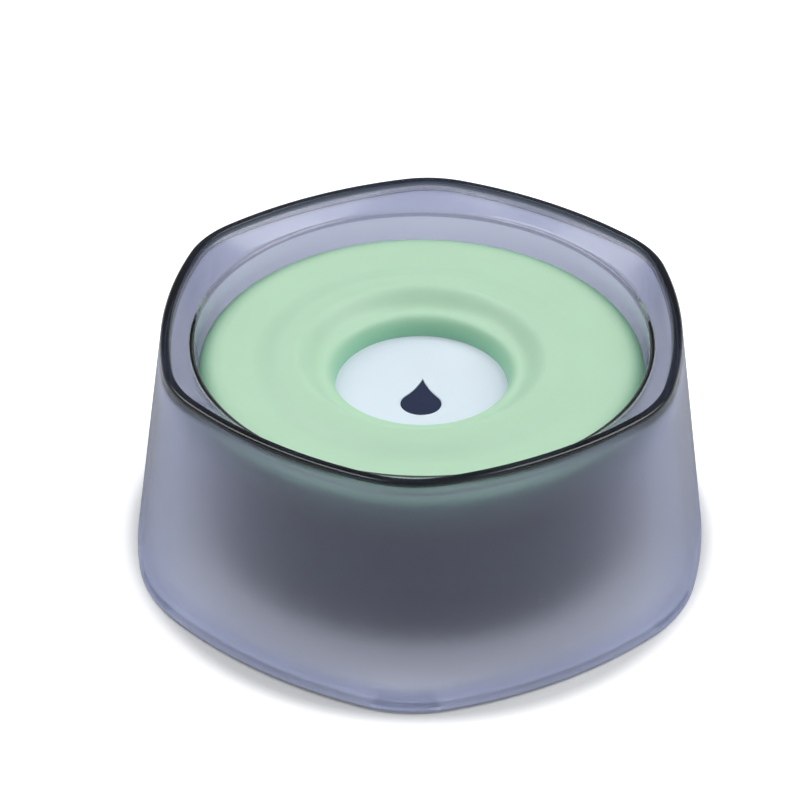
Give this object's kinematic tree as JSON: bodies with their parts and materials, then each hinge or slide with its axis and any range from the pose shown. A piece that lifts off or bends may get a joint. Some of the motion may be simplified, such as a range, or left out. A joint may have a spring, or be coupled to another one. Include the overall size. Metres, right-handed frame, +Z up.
{
  "type": "no spill dog water bowl",
  "caption": "Six-sided bowl in smoke-tinted plastic whose round basin carries a rippled green float with a white drinking dish and a drop-shaped water hole",
  "frame": {"origin": "centre of the footprint, level with the undersides of the pads that it stands on", "axes": "+Z up, +Y towards the corner that the tip of the drop-shaped hole points to, +X to the right of that"},
  "size_m": [0.2296, 0.2386, 0.0964],
  "materials": {
    "smoke_plastic": "smoke-tinted see-through plastic, polished inside and along the rim, frosted outside",
    "green_plastic": "satin pale green",
    "white_plastic": "smooth cool white",
    "seal_silicone": "soft translucent silicone",
    "pad_silicone": "matt smoke-grey silicone"
  },
  "bodies": {
    "bowl_body": {"bowl": "smoke_plastic", "foot_1": "pad_silicone", "foot_2": "pad_silicone", "foot_3": "pad_silicone", "foot_4": "pad_silicone", "foot_5": "pad_silicone", "foot_6": "pad_silicone"},
    "float": {"float_top": "green_plastic", "float_seal": "seal_silicone", "float_base": "white_plastic"}
  },
  "joints": [
    {"name": "float_level", "type": "slide", "parent": "bowl_body", "child": "float", "axis": [0, 0, 1], "range_m": [-0.0459, 0.046], "stiffness_N_per_m": 234, "springref_m": 0.00594}
  ]
}
